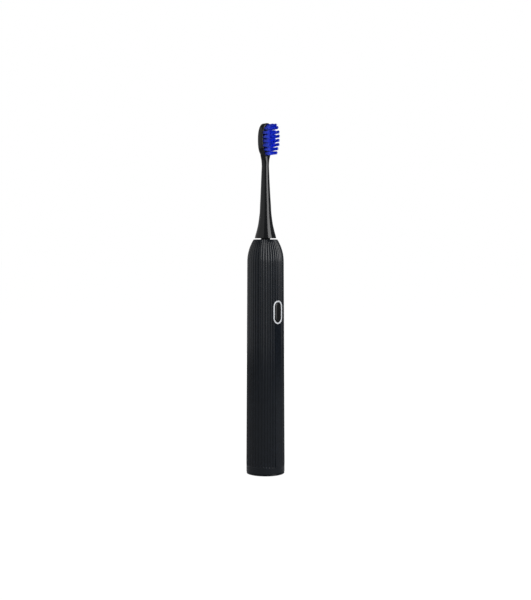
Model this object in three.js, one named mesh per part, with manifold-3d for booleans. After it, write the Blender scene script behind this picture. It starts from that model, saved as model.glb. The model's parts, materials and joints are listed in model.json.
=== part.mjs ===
// A slim sonic toothbrush standing upright: a ribbed handle with its drive inside and a slip-on brush head.
// Millimetres, +Z up. The origin is the centre of the foot. The front, with button and bristles, faces -Y.
import * as THREE from "three";
import { mergeVertices } from "three/addons/utils/BufferGeometryUtils.js";
import Module from "manifold-3d";

const wasm = await Module();
wasm.setup();

// ---- Driving dimensions -----------------------------------------------------------------------------
const GAP = 0.3; // between neighbouring pieces that don't need to look tight
const FINE_GAP = 0.1; // round the button, the switch plunger and the bristle roots

// Handle, outside
const HANDLE_TOP = 163.15;
const FOOT_R = 13.35; // smooth band under the ribs
const FOOT_FLANGE_TOP = 1.0;
const SHELL_BOTTOM = 1.2;
const BAND_TOP = 5.4; // where the ribs begin to rise
const RIB_FULL_Z = 6.9; // where they have their whole depth
const RIB_FOOT_R = 13.4; // crest radius at RIB_FULL_Z
const RIB_TOP_R = 12.68; // crest radius at SHOULDER_Z
const SHOULDER_Z = 147;
const CROWN_R = 8.4; // crest radius where the shoulder meets the flat top
const SHOULDER_POWER = 2.2;
const RIB_COUNT = 40;
const RIB_DEPTH = 0.42;
const STEPS_PER_RIB = 4;

// Smooth strip below the button, three ribs wide and slightly crowned
const STRIP_RIBS = 3;
const STRIP_SINK = 0.4; // its middle lies this far under the crests
const STRIP_CROWN_R = 34;

// Handle, inside
const BORE_R = 10.8;
const BORE_STRAIGHT_TOP = 148;
const CEILING_Z = 160.4;
const CEILING_R = 6.9;
const NECK_HOLE_R = 3.75;

// Button and its ring
const BUTTON_Z = 113.1;
const RING_WIDTH = 8.5;
const RING_HEIGHT = 16.4;
const RING_BAND = 1.2;
const RING_FACE = 12.38;
const RING_BACK = 10.0;
const BUTTON_CLEARANCE = 0.7;
const BUTTON_FACE = 12.35;
const BUTTON_BACK = 9.9;
const BUTTON_CROWN_R = 8;
const BUTTON_TRAVEL = 0.3;
const STEM_R = 1.1;
const STEM_END = 8.95;
const GASKET_FRONT = 9.5;
const GASKET_BACK = 9.0;

// Base cap with the hollow that a charger's post goes into
const SOCKET_R = 3.8;
const SOCKET_DEPTH = 12;
const PLUG_R = 10.5;
const PLUG_TOP = 12.5;
const SEAL_Z = 5.5;
const SEAL_SECTION_R = 0.5;

// Electronics, all measured from the handle's axis towards the front
const BOARD_FRONT = 7.7;
const BOARD_BACK = 6.9;
const BOARD_HALF_WIDTH = 5.8;
const BOARD_Z = [58, 127];
const SCREW_Z = [72, 93];
const SWITCH_FRONT = 8.6;
const PLUNGER_R = 0.8;
const PLUNGER_LENGTH = 0.75;

// Battery
const CELL_R = 7;
const CELL_Y = 1.5;
const CELL_Z = [18, 67];

// Chassis
const CHASSIS_R = 10.35;
const CHASSIS_Z = [14.5, 147.5];
const RAIL_X = [7.6, 9.4];
const RAIL_HALF_DEPTH = 5;
const WALL = 1.5;
const WALL_Z = [14.5, 69.5, 94, 139, 146];
const PASSAGE_R = 3;

// Motor and shaft
const SHAFT_R = 1.5;
const SHAFT_Z = [97, 185.5];
const FLAT_Z = 171; // the shaft has a flat from here up
const FLAT_Y = 1.0;
const RUNNING = 0.05; // radial clearance of a shaft in its bearing
const MOTOR_R = 6.3;
const MOTOR_Z = [98, 136];
const MOTOR_WALL = 0.5;

// Brush head
const HEAD_BOTTOM = 163.85;
const HEAD_TOP = 243;
const INSERT_R = 2.6;
const INSERT_Z = [168.5, 186];
const SOCKET_MOUTH_R = 5.9;
const PLATE_HALF_WIDTH = 5.8;
const PLATE_HALF_HEIGHT = 11.6;
const PLATE_FRONT = 2.5; // how far the plate reaches in front of the axis
const PLATE_BACK = 2.85; // and behind it
const PLATE_BACK_ROUND = 2.0;
const PLATE_FRONT_CHAMFER = 0.5;
const PLATE_POWER = 2.3;
const NECK_BEND_Z = [180, 205]; // over these heights the neck moves back to the plate's middle

// Bristles
const TUFT_R = 0.85;
const TUFT_TIP_R = 1.1;
const TUFT_LEAN = 0.35; // a tuft's tip is this much higher than its root
const TUFT_ROOT_Y = -0.8;
const TUFT_TIP_Y = -9.3;
const ROW_PITCH = 2.83;
const ROW_CENTRE_Z = 231.85;
const TOP_ROW_DROP = 1; // the top row sits closer to the row below it
const FOUR_ACROSS = [-4.2, -1.4, 1.4, 4.2];
const THREE_ACROSS = [-3.1, 0, 3.1];
const TOP_ROW = [-1.4, 1.4];
const BOTTOM_ROW = [-2.1, 0, 2.1];
const MIDDLE_ROWS = [THREE_ACROSS, FOUR_ACROSS, FOUR_ACROSS, FOUR_ACROSS, FOUR_ACROSS, THREE_ACROSS];
const ROWS = [TOP_ROW, ...MIDDLE_ROWS, BOTTOM_ROW];

const ROUND = 24; // sides of a small round piece
const ROUND_LARGE = 36; // sides of the handle's bore and what fits it

// ---- Materials --------------------------------------------------------------------------------------
function finish(color, roughness, metalness = 0) {
  return () => new THREE.MeshStandardMaterial({ color, roughness, metalness });
}

const satinBlack = finish(0x1b1d20, 0.45);
const glossBlack = finish(0x101114, 0.15);
const silver = finish(0xcfd4da, 0.3, 0.6);
const blueNylon = finish(0x1e30bb, 0.4);
const blackRubber = finish(0x141416, 0.8);
const greyPlastic = finish(0x8c9196, 0.5);
const nickel = finish(0xb9b6ad, 0.3, 0.9);
const steel = finish(0xa8abb0, 0.3, 0.9);
const copper = finish(0xb26a3c, 0.35, 0.8);
const boardGreen = finish(0x0f5a36, 0.5);
const chipBlack = finish(0x17181a, 0.6);
const ledWhite = finish(0xf2f3ee, 0.3);
const cellWrap = finish(0x2f6f8f, 0.4);
const foamGrey = finish(0x55585c, 0.9);
const magnetGrey = finish(0x6f7276, 0.35, 0.8);
const bronze = finish(0x9a7442, 0.4, 0.8);

// ---- Geometry helpers -------------------------------------------------------------------------------
function welded(geometry) {
  const bare = geometry.clone();
  bare.deleteAttribute("normal");
  bare.deleteAttribute("uv");
  const merged = mergeVertices(bare, 1e-4);
  const corners = [];
  const index = merged.index.array;
  for (let i = 0; i < index.length; i += 3) {
    const [a, b, c] = [index[i], index[i + 1], index[i + 2]];
    if (a !== b && b !== c && c !== a) {
      corners.push(a, b, c);
    }
  }
  merged.setIndex(corners);
  return merged;
}

function signedVolume(geometry) {
  const points = geometry.attributes.position;
  const index = geometry.index.array;
  const [a, b, c] = [new THREE.Vector3(), new THREE.Vector3(), new THREE.Vector3()];
  let volume = 0;
  for (let i = 0; i < index.length; i += 3) {
    a.fromBufferAttribute(points, index[i]);
    b.fromBufferAttribute(points, index[i + 1]);
    c.fromBufferAttribute(points, index[i + 2]);
    volume += a.dot(b.cross(c)) / 6;
  }
  return volume;
}

function facingOut(geometry) {
  const merged = welded(geometry);
  if (signedVolume(merged) < 0) {
    merged.setIndex(Array.from(merged.index.array).reverse());
  }
  return merged;
}

function toSolid(geometry) {
  const merged = facingOut(geometry);
  const vertProperties = new Float32Array(merged.attributes.position.array);
  const triVerts = new Uint32Array(merged.index.array);
  return new wasm.Manifold(new wasm.Mesh({ numProp: 3, vertProperties, triVerts }));
}

function toGeometry(solid) {
  const mesh = solid.getMesh();
  const geometry = new THREE.BufferGeometry();
  geometry.setAttribute("position", new THREE.BufferAttribute(new Float32Array(mesh.vertProperties), 3));
  geometry.setIndex(Array.from(mesh.triVerts));
  return geometry;
}

// Turns an outline of [radius, z] points about the Z axis. It starts and ends on the axis, or closes.
function turned(outline, sides = ROUND) {
  const points = outline.map(([radius, z]) => new THREE.Vector2(radius, z));
  return facingOut(new THREE.LatheGeometry(points, sides).rotateX(Math.PI / 2));
}

function disc(radius, [low, high], sides = ROUND) {
  return turned([[0, low], [radius, low], [radius, high], [0, high]], sides);
}

function ring(inner, outer, [low, high], sides = ROUND) {
  return turned([[inner, low], [outer, low], [outer, high], [inner, high], [inner, low]], sides);
}

function block([x0, x1], [y0, y1], [z0, z1]) {
  const box = new THREE.BoxGeometry(x1 - x0, y1 - y0, z1 - z0);
  return box.translate((x0 + x1) / 2, (y0 + y1) / 2, (z0 + z1) / 2);
}

// An outline in X and Z, pushed through in Y. front and back are distances from the axis towards -Y.
function plate(shape, front, back, curveSegments = 10) {
  const depth = front - back;
  const geometry = new THREE.ExtrudeGeometry(shape, { depth, bevelEnabled: false, curveSegments });
  return facingOut(geometry.rotateX(Math.PI / 2).translate(0, -back, 0));
}

function pill(width, height, centreZ = BUTTON_Z) {
  const radius = width / 2;
  const rise = (height - width) / 2;
  const shape = new THREE.Shape();
  shape.absarc(0, centreZ + rise, radius, 0, Math.PI, false);
  shape.absarc(0, centreZ - rise, radius, Math.PI, 2 * Math.PI, false);
  shape.closePath();
  return shape;
}

function roundHole(x, z, radius) {
  const hole = new THREE.Path();
  hole.absarc(x, z, radius, 0, 2 * Math.PI, true);
  return hole;
}

// A tall bar whose front face bulges: everything behind y = -(face - x * x / (2 * crownRadius)).
function crownedBar(face, crownRadius, halfWidth, [low, high]) {
  const steps = 12;
  const shape = new THREE.Shape();
  shape.moveTo(halfWidth, 0);
  for (let i = 0; i <= steps; i += 1) {
    const x = halfWidth - (2 * halfWidth * i) / steps;
    shape.lineTo(x, -(face - (x * x) / (2 * crownRadius)));
  }
  shape.lineTo(-halfWidth, 0);
  shape.closePath();
  const bar = new THREE.ExtrudeGeometry(shape, { depth: high - low, bevelEnabled: false });
  return facingOut(bar.translate(0, 0, low));
}

// Skins a stack of closed loops that all have the same number of points, and closes both ends.
function lofted(loops) {
  const sides = loops[0].length;
  const positions = loops.flat(2);
  const centreOf = (loop) => [0, 1, 2].map((axis) => loop.reduce((sum, p) => sum + p[axis], 0) / sides);
  positions.push(...centreOf(loops[0]), ...centreOf(loops.at(-1)));
  const bottomCentre = loops.length * sides;
  const topCentre = bottomCentre + 1;
  const index = [];
  for (let i = 0; i < sides; i += 1) {
    const next = (i + 1) % sides;
    for (let k = 0; k + 1 < loops.length; k += 1) {
      const [a, b] = [k * sides + i, k * sides + next];
      index.push(a, b, b + sides, a, b + sides, a + sides);
    }
    const top = (loops.length - 1) * sides;
    index.push(bottomCentre, next, i, topCentre, top + i, top + next);
  }
  const geometry = new THREE.BufferGeometry();
  geometry.setAttribute("position", new THREE.Float32BufferAttribute(positions, 3));
  geometry.setIndex(index);
  return facingOut(geometry);
}

// ---- Handle shell -----------------------------------------------------------------------------------
function crestRadius(z) {
  if (z <= SHOULDER_Z) {
    return THREE.MathUtils.mapLinear(z, RIB_FULL_Z, SHOULDER_Z, RIB_FOOT_R, RIB_TOP_R);
  }
  const rise = (z - SHOULDER_Z) / (HANDLE_TOP - GAP - SHOULDER_Z);
  return RIB_TOP_R - (RIB_TOP_R - CROWN_R) * rise ** SHOULDER_POWER;
}

// Radius of the crowned strip at an angle from the front, where its middle is `middle` from the axis.
function stripRadius(angle, middle) {
  const bend = Math.sin(angle) ** 2 / (2 * STRIP_CROWN_R);
  const cos = Math.cos(angle);
  return bend < 1e-9 ? middle : (Math.sqrt(cos * cos + 4 * bend * middle) - cos) / (2 * bend);
}

function ribbedRadius(angle, z) {
  const crest = crestRadius(z);
  const pitch = (2 * Math.PI) / RIB_COUNT;
  const inStrip = Math.abs(angle) < (STRIP_RIBS / 2) * pitch - 1e-6;
  if (inStrip && z < BUTTON_Z) {
    return stripRadius(angle, crest - STRIP_SINK);
  }
  const offset = Math.abs(angle / pitch - Math.round(angle / pitch)) * 2;
  const depth = RIB_DEPTH * (crest / RIB_FOOT_R);
  return crest - depth * offset ** 2;
}

function shellLoop(z, radiusAt) {
  const sides = RIB_COUNT * STEPS_PER_RIB;
  const loop = [];
  for (let i = 0; i < sides; i += 1) {
    const angle = ((i + 0.5) / sides - 0.5) * 2 * Math.PI + Math.PI / sides;
    const radius = radiusAt(angle, z);
    loop.push([radius * Math.sin(angle), -radius * Math.cos(angle), z]);
  }
  return loop;
}

function makeHandleShell() {
  const footHeights = [SHELL_BOTTOM, BAND_TOP];
  const straightHeights = [RIB_FULL_Z, BUTTON_Z - FINE_GAP, BUTTON_Z + FINE_GAP, SHOULDER_Z];
  const shoulderHeights = [150.5, 154, 157, 159.5, 161.4, HANDLE_TOP - GAP];
  const ribsRising = (angle, z) => THREE.MathUtils.lerp(FOOT_R, ribbedRadius(angle, RIB_FULL_Z), 0.6);
  const loops = [
    ...footHeights.map((z) => shellLoop(z, () => FOOT_R)),
    shellLoop((BAND_TOP + RIB_FULL_Z) / 2, ribsRising),
    ...[...straightHeights, ...shoulderHeights].map((z) => shellLoop(z, ribbedRadius)),
    shellLoop(HANDLE_TOP, () => CROWN_R - RIB_DEPTH - GAP / 2),
  ];
  const bore = turned([
    [0, 0],
    [BORE_R, 0],
    [BORE_R, BORE_STRAIGHT_TOP],
    [BORE_R - 0.6, BORE_STRAIGHT_TOP + 3.5],
    [9.0, 156],
    [CEILING_R, CEILING_Z],
    [0, CEILING_Z],
  ], ROUND_LARGE);
  const window = plate(pill(RING_WIDTH + 2 * FINE_GAP, RING_HEIGHT + 2 * FINE_GAP), 15, 5);
  const neckHole = disc(NECK_HOLE_R, [CEILING_Z - 1, HANDLE_TOP + 1]);
  const shell = toSolid(lofted(loops)).subtract(toSolid(bore));
  return toGeometry(shell.subtract(toSolid(window)).subtract(toSolid(neckHole)));
}

// ---- Base -------------------------------------------------------------------------------------------
function makeBaseCap() {
  const wellInner = SOCKET_R + 1.3;
  const wellOuter = PLUG_R - 1.6;
  const grooveR = PLUG_R - 0.95;
  const grooveHalf = SEAL_SECTION_R + 0.15;
  const roof = SOCKET_DEPTH + WALL;
  return turned([
    [0, SOCKET_DEPTH],
    [SOCKET_R, SOCKET_DEPTH],
    [SOCKET_R, 0.4],
    [SOCKET_R + 0.4, 0],
    [FOOT_R - 0.4, 0],
    [FOOT_R - 0.1, 0.3],
    [FOOT_R - 0.1, FOOT_FLANGE_TOP],
    [PLUG_R, FOOT_FLANGE_TOP],
    [PLUG_R, SEAL_Z - grooveHalf],
    [grooveR, SEAL_Z - grooveHalf],
    [grooveR, SEAL_Z + grooveHalf],
    [PLUG_R, SEAL_Z + grooveHalf],
    [PLUG_R, PLUG_TOP],
    [wellOuter, PLUG_TOP],
    [wellOuter, FOOT_FLANGE_TOP + 0.8],
    [wellInner, FOOT_FLANGE_TOP + 0.8],
    [wellInner, roof],
    [0, roof],
  ], ROUND_LARGE);
}

function makeBaseSeal() {
  const centreR = BORE_R - SEAL_SECTION_R - 0.1;
  const outline = [];
  const sectionSides = 6;
  for (let i = 0; i <= sectionSides; i += 1) {
    const turn = (i / sectionSides) * 2 * Math.PI;
    outline.push([centreR + SEAL_SECTION_R * Math.cos(turn), SEAL_Z + SEAL_SECTION_R * Math.sin(turn)]);
  }
  return turned(outline);
}

// ---- Button -----------------------------------------------------------------------------------------
function makeButtonRing() {
  const outline = pill(RING_WIDTH, RING_HEIGHT);
  outline.holes.push(pill(RING_WIDTH - 2 * RING_BAND, RING_HEIGHT - 2 * RING_BAND));
  const bar = crownedBar(RING_FACE, STRIP_CROWN_R, RING_WIDTH, [BUTTON_Z - 12, BUTTON_Z + 12]);
  return toGeometry(toSolid(plate(outline, 15, RING_BACK)).intersect(toSolid(bar)));
}

function makeButtonCap() {
  const inset = 2 * (RING_BAND + BUTTON_CLEARANCE);
  const prism = plate(pill(RING_WIDTH - inset, RING_HEIGHT - inset), 15, BUTTON_BACK);
  const bar = crownedBar(BUTTON_FACE, BUTTON_CROWN_R, RING_WIDTH / 2, [BUTTON_Z - 12, BUTTON_Z + 12]);
  const stem = disc(STEM_R, [STEM_END, BUTTON_BACK + 0.5]).rotateX(Math.PI / 2).translate(0, 0, BUTTON_Z);
  return toGeometry(toSolid(prism).intersect(toSolid(bar)).add(toSolid(stem)));
}

function makeButtonGasket() {
  const outline = pill(RING_WIDTH + 0.5, RING_HEIGHT + 0.5);
  outline.holes.push(roundHole(0, BUTTON_Z, STEM_R + 0.4));
  return plate(outline, GASKET_FRONT, GASKET_BACK);
}

// ---- Electronics ------------------------------------------------------------------------------------
function makeMainBoard() {
  const [low, high] = BOARD_Z;
  const corner = 1.5;
  const w = BOARD_HALF_WIDTH;
  const shape = new THREE.Shape();
  shape.moveTo(-w + corner, low);
  shape.lineTo(w - corner, low);
  shape.absarc(w - corner, low + corner, corner, -Math.PI / 2, 0, false);
  shape.absarc(w - corner, high - corner, corner, 0, Math.PI / 2, false);
  shape.absarc(-w + corner, high - corner, corner, Math.PI / 2, Math.PI, false);
  shape.absarc(-w + corner, low + corner, corner, Math.PI, 1.5 * Math.PI, false);
  for (const z of SCREW_Z) {
    shape.holes.push(roundHole(0, z, 0.9));
  }
  return plate(shape, BOARD_FRONT, BOARD_BACK, 4);
}

function makeSwitchBody() {
  const half = 2.4;
  const shape = new THREE.Shape();
  shape.moveTo(-half, BUTTON_Z - half);
  shape.lineTo(half, BUTTON_Z - half);
  shape.lineTo(half, BUTTON_Z + half);
  shape.lineTo(-half, BUTTON_Z + half);
  shape.closePath();
  shape.holes.push(roundHole(0, BUTTON_Z, PLUNGER_R + 0.15));
  return plate(shape, SWITCH_FRONT, BOARD_FRONT + RUNNING, 6);
}

function makeSwitchPlunger() {
  const front = STEM_END - FINE_GAP;
  const pin = disc(PLUNGER_R, [front - PLUNGER_LENGTH, front], 12);
  return pin.rotateX(Math.PI / 2).translate(0, 0, BUTTON_Z);
}

function makeBoardScrew(z) {
  const screw = turned([[0, 3.5], [0.7, 3.5], [0.7, 7.75], [1.3, 7.75], [1.3, 8.2], [0, 8.2]], 12);
  return screw.rotateX(Math.PI / 2).translate(0, 0, z);
}

function frontBlock(halfWidth, back, front, zRange) {
  return block([-halfWidth, halfWidth], [-front, -back], zRange);
}

// ---- Battery ----------------------------------------------------------------------------------------
function makeBatteryCell() {
  const [low, high] = CELL_Z;
  const [edge, nubR, nubTop] = [0.4, 2.5, high + 1.2];
  return turned([
    [0, low],
    [CELL_R - edge, low],
    [CELL_R, low + edge],
    [CELL_R, high - edge],
    [CELL_R - edge, high],
    [nubR, high],
    [nubR, nubTop],
    [0, nubTop],
  ]).translate(0, CELL_Y, 0);
}

// An L of nickel strip: one leg lies across the cell's end and the other runs along its front.
function makeBatteryTab(endZ, reach) {
  const [front, behind, thick, halfWidth] = [-6.1, 3, 0.3, 2];
  const across = toSolid(block([-halfWidth, halfWidth], [front, behind], [endZ, endZ + thick]));
  const zRange = [Math.min(endZ, reach), Math.max(endZ + thick, reach)];
  const along = block([-halfWidth, halfWidth], [front, front + thick], zRange);
  return toGeometry(across.add(toSolid(along)));
}

// ---- Chassis ----------------------------------------------------------------------------------------
function makeChassis() {
  const [low, high] = CHASSIS_Z;
  const [railIn, railOut] = RAIL_X;
  const wide = [-CHASSIS_R, CHASSIS_R];
  const pieces = [
    block([-railOut, -railIn], [-RAIL_HALF_DEPTH, RAIL_HALF_DEPTH], [low, high]),
    block([railIn, railOut], [-RAIL_HALF_DEPTH, RAIL_HALF_DEPTH], [low, high]),
    ...WALL_Z.map((z) => block(wide, [-(BOARD_BACK - GAP), CHASSIS_R], [z, z + WALL])),
    frontBlock(2, 2.5, BOARD_BACK - GAP, [WALL_Z[1], SCREW_Z[0] + 2]),
    frontBlock(2, 2.5, BOARD_BACK - GAP, [SCREW_Z[1] - 2, WALL_Z[2] + WALL]),
  ];
  let chassis = pieces.map(toSolid).reduce((whole, piece) => whole.add(piece));
  chassis = chassis.intersect(toSolid(disc(CHASSIS_R, [low - 1, high + 1], ROUND_LARGE)));
  chassis = chassis.subtract(toSolid(disc(PASSAGE_R, [WALL_Z[3] - 1, high + 1])));
  for (const z of SCREW_Z) {
    const hole = disc(0.85, [3.2, 9], 12).rotateX(Math.PI / 2).translate(0, 0, z);
    chassis = chassis.subtract(toSolid(hole));
  }
  return toGeometry(chassis);
}

// ---- Motor and shaft --------------------------------------------------------------------------------
function makeDriveShaft() {
  const [low, high] = SHAFT_Z;
  const round = turned([[0, low], [SHAFT_R, low], [SHAFT_R, high - 0.5], [SHAFT_R - 0.5, high], [0, high]]);
  const flat = block([-3, 3], [FLAT_Y - FINE_GAP, 3], [FLAT_Z, high + 1]);
  return toGeometry(toSolid(round).subtract(toSolid(flat)));
}

function makeShaftSeal() {
  const bore = SHAFT_R + 0.35;
  const [flangeR, flangeLow, flangeTop] = [6.2, CEILING_Z - 1.6, CEILING_Z - GAP];
  const neckR = NECK_HOLE_R - GAP;
  return turned([
    [bore, flangeLow],
    [flangeR, flangeLow],
    [flangeR, flangeTop],
    [neckR, flangeTop],
    [neckR, 164.8],
    [neckR - 0.4, 165.2],
    [bore, 165.2],
    [bore, flangeLow],
  ]);
}

function makeSealRetainer() {
  const [low, flangeLow, top] = [CHASSIS_Z[1] + GAP, 156.9, CEILING_Z - 1.9];
  const [tubeR, flangeR] = [4.2, 6.4];
  return turned([
    [PASSAGE_R, low],
    [tubeR, low],
    [tubeR, flangeLow],
    [flangeR, flangeLow],
    [flangeR, top],
    [PASSAGE_R, top],
    [PASSAGE_R, low],
  ]);
}

// ---- Brush head -------------------------------------------------------------------------------------
// Radius and height of the neck from its collar up to where it spreads into the plate.
const NECK_PROFILE = [
  [7.55, HEAD_BOTTOM],
  [7.1, 165.8],
  [6.4, 168.2],
  [5.75, 170.8],
  [5.2, 173.2],
  [4.5, 177.9],
  [4.05, 182],
  [3.78, 187.5],
  [3.5, 192],
  [3.05, 201.5],
  [2.7, 210],
  [2.55, 214.5],
];
// Half-width and height where the neck spreads. Its depth is a little less than the plate's.
const SPREAD_PROFILE = [
  [2.95, 217.7],
  [3.5, 219.2],
  [4.05, 221],
  [4.5, 224],
  [4.6, 228],
];

function ovalLoop(halfWidth, halfDepth, z) {
  const [bendLow, bendHigh] = NECK_BEND_Z;
  const y = ((PLATE_BACK - PLATE_FRONT) / 2) * THREE.MathUtils.smoothstep(z, bendLow, bendHigh);
  const loop = [];
  for (let i = 0; i < ROUND; i += 1) {
    const turn = (i / ROUND) * 2 * Math.PI;
    loop.push([halfWidth * Math.sin(turn), y - halfDepth * Math.cos(turn), z]);
  }
  return loop;
}

function neckSolid() {
  const halfDepth = (PLATE_FRONT + PLATE_BACK) / 2 - 0.05;
  const round = NECK_PROFILE.map(([radius, z]) => ovalLoop(radius, radius, z));
  const spread = SPREAD_PROFILE.map(([halfWidth, z]) => ovalLoop(halfWidth, halfDepth, z));
  return toSolid(lofted([...round, ...spread]));
}

// The plate's outline at distance y from the axis: a superellipse that shrinks towards both faces.
function plateLoop(y, inset) {
  const sides = 40;
  const centreZ = HEAD_TOP - PLATE_HALF_HEIGHT;
  const loop = [];
  for (let i = 0; i < sides; i += 1) {
    const turn = (i / sides) * 2 * Math.PI;
    const bulge = (value) => Math.sign(value) * Math.abs(value) ** (2 / PLATE_POWER);
    const x = (PLATE_HALF_WIDTH - inset) * bulge(Math.sin(turn));
    const z = centreZ + (PLATE_HALF_HEIGHT - inset) * bulge(Math.cos(turn));
    loop.push([x, y, z]);
  }
  return loop;
}

function plateSolid() {
  const loops = [
    plateLoop(-PLATE_FRONT, PLATE_FRONT_CHAMFER),
    plateLoop(-PLATE_FRONT + PLATE_FRONT_CHAMFER, 0),
  ];
  for (let step = 0; step <= 3; step += 1) {
    const turn = (step / 3) * (Math.PI / 2);
    const y = PLATE_BACK - PLATE_BACK_ROUND * (1 - Math.sin(turn));
    loops.push(plateLoop(y, PLATE_BACK_ROUND * (1 - Math.cos(turn))));
  }
  return toSolid(lofted(loops));
}

function socketSolid() {
  const boreR = INSERT_R + FINE_GAP;
  return toSolid(turned([
    [0, HEAD_BOTTOM - 1],
    [SOCKET_MOUTH_R, HEAD_BOTTOM - 1],
    [SOCKET_MOUTH_R, HEAD_BOTTOM + 0.4],
    [4.4, INSERT_Z[0] - GAP],
    [boreR, INSERT_Z[0] - GAP],
    [boreR, INSERT_Z[1] + GAP],
    [0, INSERT_Z[1] + GAP],
  ]));
}

function tuftPlaces() {
  const middleRow = (ROWS.length - 1) / 2;
  const rowZ = (i) => ROW_CENTRE_Z + (middleRow - i) * ROW_PITCH - (i === 0 ? TOP_ROW_DROP : 0);
  return ROWS.flatMap((row, i) => row.map((x) => [x, rowZ(i)]));
}

// A small loop of points round (x, z) at a distance y from the axis.
function tuftLoop(x, z, radius, y) {
  const sides = 8;
  const loop = [];
  for (let i = 0; i < sides; i += 1) {
    const turn = (i / sides) * 2 * Math.PI;
    loop.push([x + radius * Math.sin(turn), y, z + radius * Math.cos(turn)]);
  }
  return loop;
}

function makeHeadBody() {
  let head = neckSolid().add(plateSolid()).subtract(socketSolid());
  const holeR = TUFT_R + RUNNING;
  for (const [x, z] of tuftPlaces()) {
    const floor = tuftLoop(x, z, holeR, TUFT_ROOT_Y + RUNNING);
    const mouth = tuftLoop(x, z, holeR, -PLATE_FRONT - 1);
    head = head.subtract(toSolid(lofted([floor, mouth])));
  }
  return toGeometry(head);
}

function makeTuft([x, z]) {
  return lofted([
    tuftLoop(x, z, TUFT_R, TUFT_ROOT_Y),
    tuftLoop(x, z, TUFT_R, -PLATE_FRONT - FINE_GAP),
    tuftLoop(x, z + TUFT_LEAN, TUFT_TIP_R, TUFT_TIP_Y),
  ]);
}

function tuftName(i) {
  return `bristle_tuft_${String(i + 1).padStart(2, "0")}`;
}

function makeHeadSocketInsert() {
  const [low, high] = INSERT_Z;
  const bore = disc(SHAFT_R + RUNNING, [low - 1, high + 1]);
  const key = block([-3, 3], [FLAT_Y, 3], [FLAT_Z + GAP, high + 2]);
  const keyed = toSolid(bore).subtract(toSolid(key));
  return toGeometry(toSolid(disc(INSERT_R, [low, high])).subtract(keyed));
}

// ---- Assembly ---------------------------------------------------------------------------------------
const toothbrush = new THREE.Group();

function addPart(name, geometry, makeMaterial, parent) {
  const mesh = new THREE.Mesh(geometry, makeMaterial());
  mesh.name = name;
  parent.add(mesh);
}

function addGroup(parts) {
  const group = new THREE.Group();
  for (const [name, geometry, makeMaterial] of parts) {
    addPart(name, geometry, makeMaterial, group);
  }
  toothbrush.add(group);
}

const motorInnerR = MOTOR_R - MOTOR_WALL;
const bearingR = 2.6;

addGroup([
  ["handle_shell", makeHandleShell(), satinBlack],
  ["base_cap", makeBaseCap(), satinBlack],
  ["base_seal", makeBaseSeal(), blackRubber],
  ["shaft_seal", makeShaftSeal(), blackRubber],
  ["seal_retainer", makeSealRetainer(), greyPlastic],
]);

addGroup([
  ["button_ring", makeButtonRing(), silver],
  ["button_cap", makeButtonCap(), glossBlack],
  ["button_gasket", makeButtonGasket(), blackRubber],
  ["switch_body", makeSwitchBody(), chipBlack],
  ["switch_plunger", makeSwitchPlunger(), greyPlastic],
]);

addGroup([
  ["chassis", makeChassis(), greyPlastic],
  ["main_board", makeMainBoard(), boardGreen],
  ["controller_chip", frontBlock(2.5, BOARD_FRONT + RUNNING, 8.6, [81, 86]), chipBlack],
  ["status_led", frontBlock(0.8, BOARD_FRONT + RUNNING, 8.4, [120.4, 121.4]), ledWhite],
  ...SCREW_Z.map((z, i) => [`board_screw_${i + 1}`, makeBoardScrew(z), steel]),
]);

addGroup([
  ["charge_coil", ring(SOCKET_R + 1.6, PLUG_R - 1.9, [2.6, 9]), copper],
  ["battery_pad", disc(5, [WALL_Z[0] + WALL + GAP, 17]).translate(0, CELL_Y, 0), foamGrey],
  ["battery_cell", makeBatteryCell(), cellWrap],
  ["battery_tab_bottom", makeBatteryTab(17.3, 57), nickel],
  ["battery_tab_top", makeBatteryTab(68.6, 62), nickel],
]);

addGroup([
  ["motor_case", ring(motorInnerR, MOTOR_R, MOTOR_Z), steel],
  ["motor_bottom_cap", ring(bearingR, motorInnerR - RUNNING, [98.3, 100.5]), greyPlastic],
  ["motor_top_cap", ring(bearingR, motorInnerR - RUNNING, [133.5, 135.7]), greyPlastic],
  ["motor_bottom_bearing", ring(SHAFT_R + RUNNING, bearingR - RUNNING, [98.3, 101]), bronze],
  ["motor_top_bearing", ring(SHAFT_R + RUNNING, bearingR - RUNNING, [133, 135.7]), bronze],
  ["stator_coil", ring(3.9, 5.6, [105, 129]), copper],
  ["motor_damper", ring(PASSAGE_R, 6.2, [MOTOR_Z[1] + GAP, WALL_Z[3] - GAP]), blackRubber],
]);

addGroup([
  ["rotor_magnet", ring(SHAFT_R + RUNNING, 3.4, [107, 127]), magnetGrey],
  ["drive_shaft", makeDriveShaft(), steel],
]);

addGroup([
  ["head_body", makeHeadBody(), glossBlack],
  ["head_socket_insert", makeHeadSocketInsert(), greyPlastic],
  ...tuftPlaces().map((place, i) => [tuftName(i), makeTuft(place), blueNylon]),
]);

export default toothbrush;
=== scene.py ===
# The looks of a slim sonic toothbrush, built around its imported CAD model.
# Metres, +Z up. The toothbrush stands on its foot and its front, with button and bristles, faces -Y.
import json
import math
import random

import bmesh
import bpy
from mathutils import Matrix, Vector


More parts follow.
